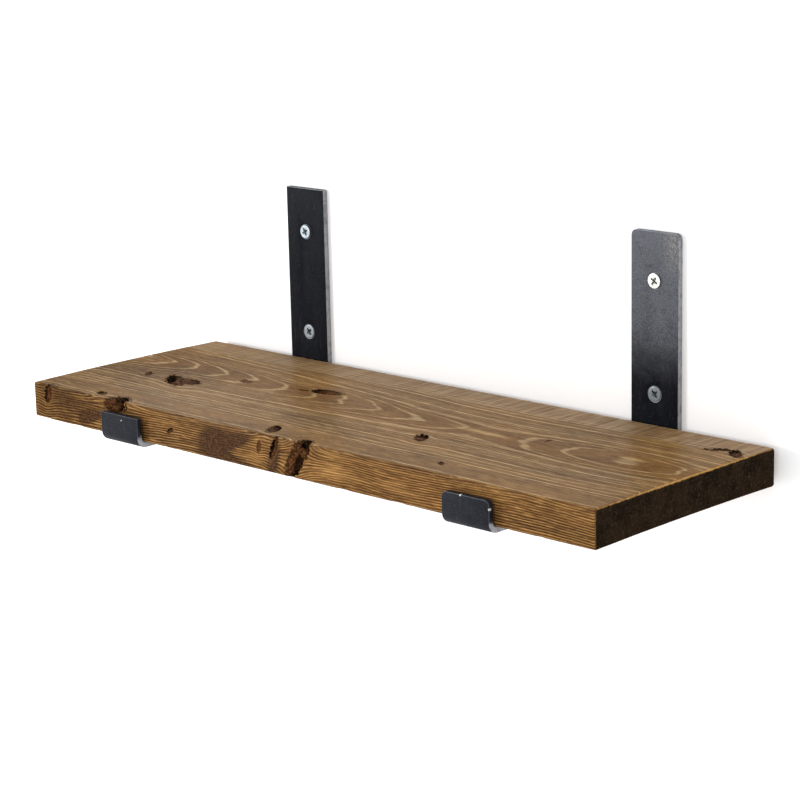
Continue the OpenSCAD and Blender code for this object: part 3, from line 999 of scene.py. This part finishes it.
def screw_mesh(name, head_r, thread_r, length, pitch, shank):
    """A countersunk wood screw along +Z, its head's face at z = 0, in metres."""
    sides = 48
    core_r = 0.68 * thread_r
    shank_r = 0.82 * thread_r
    rim = 0.4 * MM
    ease = 0.18 * MM
    neck_r = thread_r - 0.4 * MM
    cone_end = rim + head_r - neck_r
    thread_from = max(shank, cone_end + 1.0 * MM)
    profile = [
        (head_r - 3 * ease, 0), (head_r - ease, 0), (head_r - 0.3 * ease, 0.3 * ease), (head_r, ease),
        (head_r, rim), (neck_r, cone_end), (neck_r, cone_end + 0.1 * MM),
        (shank_r, cone_end + 0.6 * MM), (shank_r, thread_from),
    ]
    rows = [[spot] * sides for spot in profile]
    rows += thread_rows(thread_from, length, pitch, shank_r, core_r, thread_r, sides)
    bm = bmesh.new()
    rings = []
    for row in rows:
        ring = []
        for s, (radius, z) in enumerate(row):
            angle = 2 * math.pi * s / sides
            ring.append(bm.verts.new((radius * math.cos(angle), radius * math.sin(angle), z)))
        rings.append(ring)
    for upper, lower in zip(rings, rings[1:]):
        for s in range(sides):
            t = (s + 1) % sides
            bm.faces.new((upper[s], upper[t], lower[t], lower[s]))
    tip = bm.verts.new((0, 0, length))
    for s in range(sides):
        bm.faces.new((rings[-1][s], rings[-1][(s + 1) % sides], tip))
    bm.faces.new(list(reversed(rings[0])))
    bmesh.ops.recalc_face_normals(bm, faces=bm.faces)
    mesh = bpy.data.meshes.new(name)
    bm.to_mesh(mesh)
    bm.free()
    return mesh


def drive_cutter(span, depth):
    """The shape of a cross drive: four tapered wings with small ticks between them."""
    bm = bmesh.new()
    lead = 0.3 * MM
    tick_depth = 0.6 * MM

    def wing(turn, half_width, reach_top, reach_low, low):
        corners = []
        for z, reach, side in ((-lead, reach_top, half_width), (low, reach_low, half_width * 0.6)):
            corners += [(-reach, -side, z), (reach, -side, z), (reach, side, z), (-reach, side, z)]
        spin = Matrix.Rotation(turn, 3, "Z")
        verts = [bm.verts.new(spin @ Vector(c)) for c in corners]
        for quad in ((0, 3, 2, 1), (4, 5, 6, 7), (0, 1, 5, 4), (1, 2, 6, 5), (2, 3, 7, 6), (3, 0, 4, 7)):
            bm.faces.new([verts[i] for i in quad])

    for turn in (0, math.pi / 2):
        wing(turn, 0.125 * span, span / 2, span / 5, depth)
    for turn in (math.pi / 4, 3 * math.pi / 4):
        wing(turn, 0.045 * span, span * 0.42, span * 0.25, tick_depth)
    bmesh.ops.recalc_face_normals(bm, faces=bm.faces)
    mesh = bpy.data.meshes.new("drive cutter")
    bm.to_mesh(mesh)
    bm.free()
    return mesh


def cut_mesh(body, cutter, sharp_angle):
    """The first mesh less the second, with its sharp edges marked."""
    scene = bpy.context.scene.collection
    whole = bpy.data.objects.new("whole", body)
    tool = bpy.data.objects.new("tool", cutter)
    scene.objects.link(whole)
    scene.objects.link(tool)
    less = whole.modifiers.new("drive", "BOOLEAN")
    less.operation = "DIFFERENCE"
    less.object = tool
    less.solver = "EXACT"
    less.use_self = True
    result = bpy.data.meshes.new_from_object(whole.evaluated_get(bpy.context.evaluated_depsgraph_get()))
    bpy.data.objects.remove(whole)
    bpy.data.objects.remove(tool)
    result.shade_smooth()
    result.set_sharp_from_angle(angle=sharp_angle)
    return result


def add_screw(node, direction, turn, shank, pitch, thread_r, plating):
    """Builds a screw where its CAD node is."""
    drive_depth = 2.4 * MM
    low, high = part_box(node)
    axis = 1 if direction.y > 0.5 else 2
    length = high[axis] - low[axis]
    head_r = (high.x - low.x) / 2
    origin = (low + high) / 2
    origin[axis] = low[axis]
    mesh = screw_mesh(node + "_body", head_r, thread_r, length, pitch, shank)
    drive_span = 1.26 * head_r
    mesh = cut_mesh(mesh, drive_cutter(drive_span, drive_depth), math.radians(30))
    mesh.name = "threaded_" + node
    spin = Matrix.Rotation(math.radians(turn), 4, "Z")
    stand = Vector((0, 0, 1)).rotation_difference(direction).to_matrix().to_4x4()
    mesh.transform(Matrix.Translation(origin) @ stand @ spin)
    add_piece("threaded_" + node, mesh, node, [plating])


# ---- Stage ----

def backdrop_material(look):
    """Plain white, and clear from behind and below."""
    material = empty_material("white wall")
    tree = material.node_tree
    blotch = cloud(tree, point_in_mm(tree), 0.01, 3.0)
    colour = mix(tree, fade(tree, blotch, 0.3, 0.7, 0.0, 0.02), tuple(look.wall), WHITE)
    paint = place(tree, "BsdfPrincipled", {"Base Color": colour, "Roughness": 0.9})
    paint.inputs["Specular IOR Level"].default_value = 0.1
    paint.inputs["Emission Color"].default_value = WHITE
    paint.inputs["Emission Strength"].default_value = look.glow
    clear = place(tree, "BsdfTransparent")
    side = place(tree, "NewGeometry").outputs["Backfacing"]
    both = place(tree, "MixShader", {0: side, 1: paint.outputs[0], 2: clear.outputs[0]})
    output = place(tree, "OutputMaterial")
    tree.links.new(both.outputs[0], output.inputs[0])
    return material


def backdrop_mesh():
    """A wall that curves into a floor."""
    wall_gap = 0.3 * MM
    half_width = 3.0
    wall_top = 2.2
    floor_z = -0.75
    depth = 3.0
    curve = 0.3
    arc = [(wall_gap - curve + curve * math.cos(a), floor_z + curve - curve * math.sin(a))
           for a in (math.radians(d) for d in range(0, 91, 6))]
    line = [(wall_gap, wall_top)] + arc + [(-depth, floor_z)]
    points = [(x, y, z) for y, z in line for x in (-half_width, half_width)]
    faces = [(2 * i, 2 * i + 2, 2 * i + 3, 2 * i + 1) for i in range(len(line) - 1)]
    mesh = bpy.data.meshes.new("backdrop")
    mesh.from_pydata(points, [], faces)
    mesh.shade_smooth()
    return mesh


# In metres
KEY_PLACE = (-1.5, -1.7, 0.05)
KEY_WIDTH = 0.7
SHELF_MIDDLE = (0, -0.1, -0.08)
CAMERA_PLACE = (1.1355, -1.2590, 0.3410)

# In degrees: round the shelf from straight in front, down, and off level
CAMERA_TURN = (43.893, 13.56, -1.321)


def add_area_light(name, at, target, size, power):
    light = bpy.data.lights.new(name, "AREA")
    light.shape = "DISK"
    light.size = size
    light.energy = power
    lamp = bpy.data.objects.new(name, light)
    lamp.location = at
    lamp.rotation_euler = (Vector(target) - Vector(at)).to_track_quat("-Z", "Y").to_euler()
    bpy.context.scene.collection.objects.link(lamp)


def add_camera(lens):
    """A long lens at the front right, a little above the plank, held slightly off level."""
    data = bpy.data.cameras.new("camera")
    data.sensor_width = 36
    data.lens = lens / MM
    data.clip_start = 0.05
    data.clip_end = 20
    camera = bpy.data.objects.new("camera", data)
    azimuth, elevation, roll = (math.radians(angle) for angle in CAMERA_TURN)
    ahead = Vector((-math.sin(azimuth) * math.cos(elevation), math.cos(azimuth) * math.cos(elevation),
                    -math.sin(elevation)))
    level = Vector((math.cos(azimuth), math.sin(azimuth), 0))
    upright = level.cross(ahead)
    right = level * math.cos(roll) + upright * math.sin(roll)
    above = right.cross(ahead)
    turn = Matrix((right, above, -ahead)).transposed().to_4x4()
    camera.matrix_world = Matrix.Translation(CAMERA_PLACE) @ turn
    bpy.context.scene.collection.objects.link(camera)
    bpy.context.scene.camera = camera


# ---- Operators ----

class SHELF_OT_plank(bpy.types.Operator):
    """Build the stained plank"""
    bl_idname = "shelf.plank"
    bl_label = "Plank"

    def execute(self, context):
        look = context.scene.shelf_plank
        low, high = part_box("shelf_board")
        mesh = plank_mesh(look, low, high)
        add_piece("stained_plank", mesh, "shelf_board", [wood_material(look, high)])
        return {"FINISHED"}


class SHELF_OT_brackets(bpy.types.Operator):
    """Build both bent bar brackets"""
    bl_idname = "shelf.brackets"
    bl_label = "Brackets"

    def execute(self, context):
        look = context.scene.shelf_brackets
        lip_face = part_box("bracket_left")[0].y / MM
        # The last number is the share of painted shade on the lips.
        cut = bare_steel_material("cut steel", look, tuple(look.cut), 0.38, lip_face, 0.94)
        worn = bare_steel_material("rubbed steel", look, tuple(look.worn), 0.3, lip_face, 0.72)
        for side in ("left", "right"):
            skin = scale_material(side + " mill scale", look, side == "left")
            mesh = bracket_mesh(side + "_bar", "bracket_" + side, look, screw_axes(), [skin, cut, worn])
            add_piece(side + "_bar", mesh, "bracket_" + side)
        return {"FINISHED"}


class SHELF_OT_screws(bpy.types.Operator):
    """Build the wall screws and the board screws"""
    bl_idname = "shelf.screws"
    bl_label = "Screws"

    def execute(self, context):
        look = context.scene.shelf_screws
        zinc = zinc_material("zinc", look, 0.0)
        highlit = zinc_material("fresh zinc", look, 1.0)
        for node, turn in WALL_SCREWS:
            # One wall screw gets zinc painted bright: a painted highlight.
            plating = highlit if node == HIGHLIT_SCREW else zinc
            add_screw(node, INTO_WALL, turn, WALL_SHANK, look.wall_pitch, WALL_THREAD_R, plating)
        for node, turn in BOARD_SCREWS:
            add_screw(node, UPWARDS, turn, BOARD_SHANK, look.board_pitch, BOARD_THREAD_R, zinc)
        return {"FINISHED"}


class SHELF_OT_stage(bpy.types.Operator):
    """Build the wall, the floor, the lights and the camera"""
    bl_idname = "shelf.stage"
    bl_label = "Stage"

    def execute(self, context):
        look = context.scene.shelf_stage
        mesh = backdrop_mesh()
        mesh.materials.append(backdrop_material(look))
        wall = bpy.data.objects.new("wall_and_floor", mesh)
        bpy.context.scene.collection.objects.link(wall)
        wall.visible_shadow = False
        world = bpy.data.worlds.new("white room")
        world.use_nodes = True
        room = world.node_tree.nodes["Background"]
        room.inputs["Color"].default_value = WHITE
        room.inputs["Strength"].default_value = look.surround
        context.scene.world = world
        add_area_light("key", KEY_PLACE, SHELF_MIDDLE, KEY_WIDTH, look.key_power)
        add_camera(look.lens)
        context.scene.view_settings.view_transform = "Standard"
        return {"FINISHED"}


class SHELF_PT_panel(bpy.types.Panel):
    """Settings and steps of the wall shelf"""
    bl_idname = "SHELF_PT_panel"
    bl_label = "Wall shelf"
    bl_space_type = "VIEW_3D"
    bl_region_type = "UI"
    bl_category = "Wall shelf"

    def draw(self, context):
        for group_name, operator in STEPS:
            box = self.layout.box()
            settings = getattr(context.scene, group_name)
            for name in settings.__annotations__:
                box.prop(settings, name)
            box.operator(operator)


STEPS = [
    ("shelf_plank", "shelf.plank"), ("shelf_brackets", "shelf.brackets"),
    ("shelf_screws", "shelf.screws"), ("shelf_stage", "shelf.stage"),
]
SETTINGS = {
    "shelf_plank": PlankSettings, "shelf_brackets": BracketSettings,
    "shelf_screws": ScrewSettings, "shelf_stage": StageSettings,
}
CLASSES = [
    *SETTINGS.values(), SHELF_OT_plank, SHELF_OT_brackets, SHELF_OT_screws, SHELF_OT_stage, SHELF_PT_panel,
]


def register():
    for made in CLASSES:
        bpy.utils.register_class(made)
    for name, kind in SETTINGS.items():
        setattr(bpy.types.Scene, name, bpy.props.PointerProperty(type=kind))


def unregister():
    for name in SETTINGS:
        delattr(bpy.types.Scene, name)
    for made in reversed(CLASSES):
        bpy.utils.unregister_class(made)


def main():
    register()
    bpy.ops.shelf.plank()
    bpy.ops.shelf.brackets()
    bpy.ops.shelf.screws()
    bpy.ops.shelf.stage()


if __name__ == "__main__":
    main()
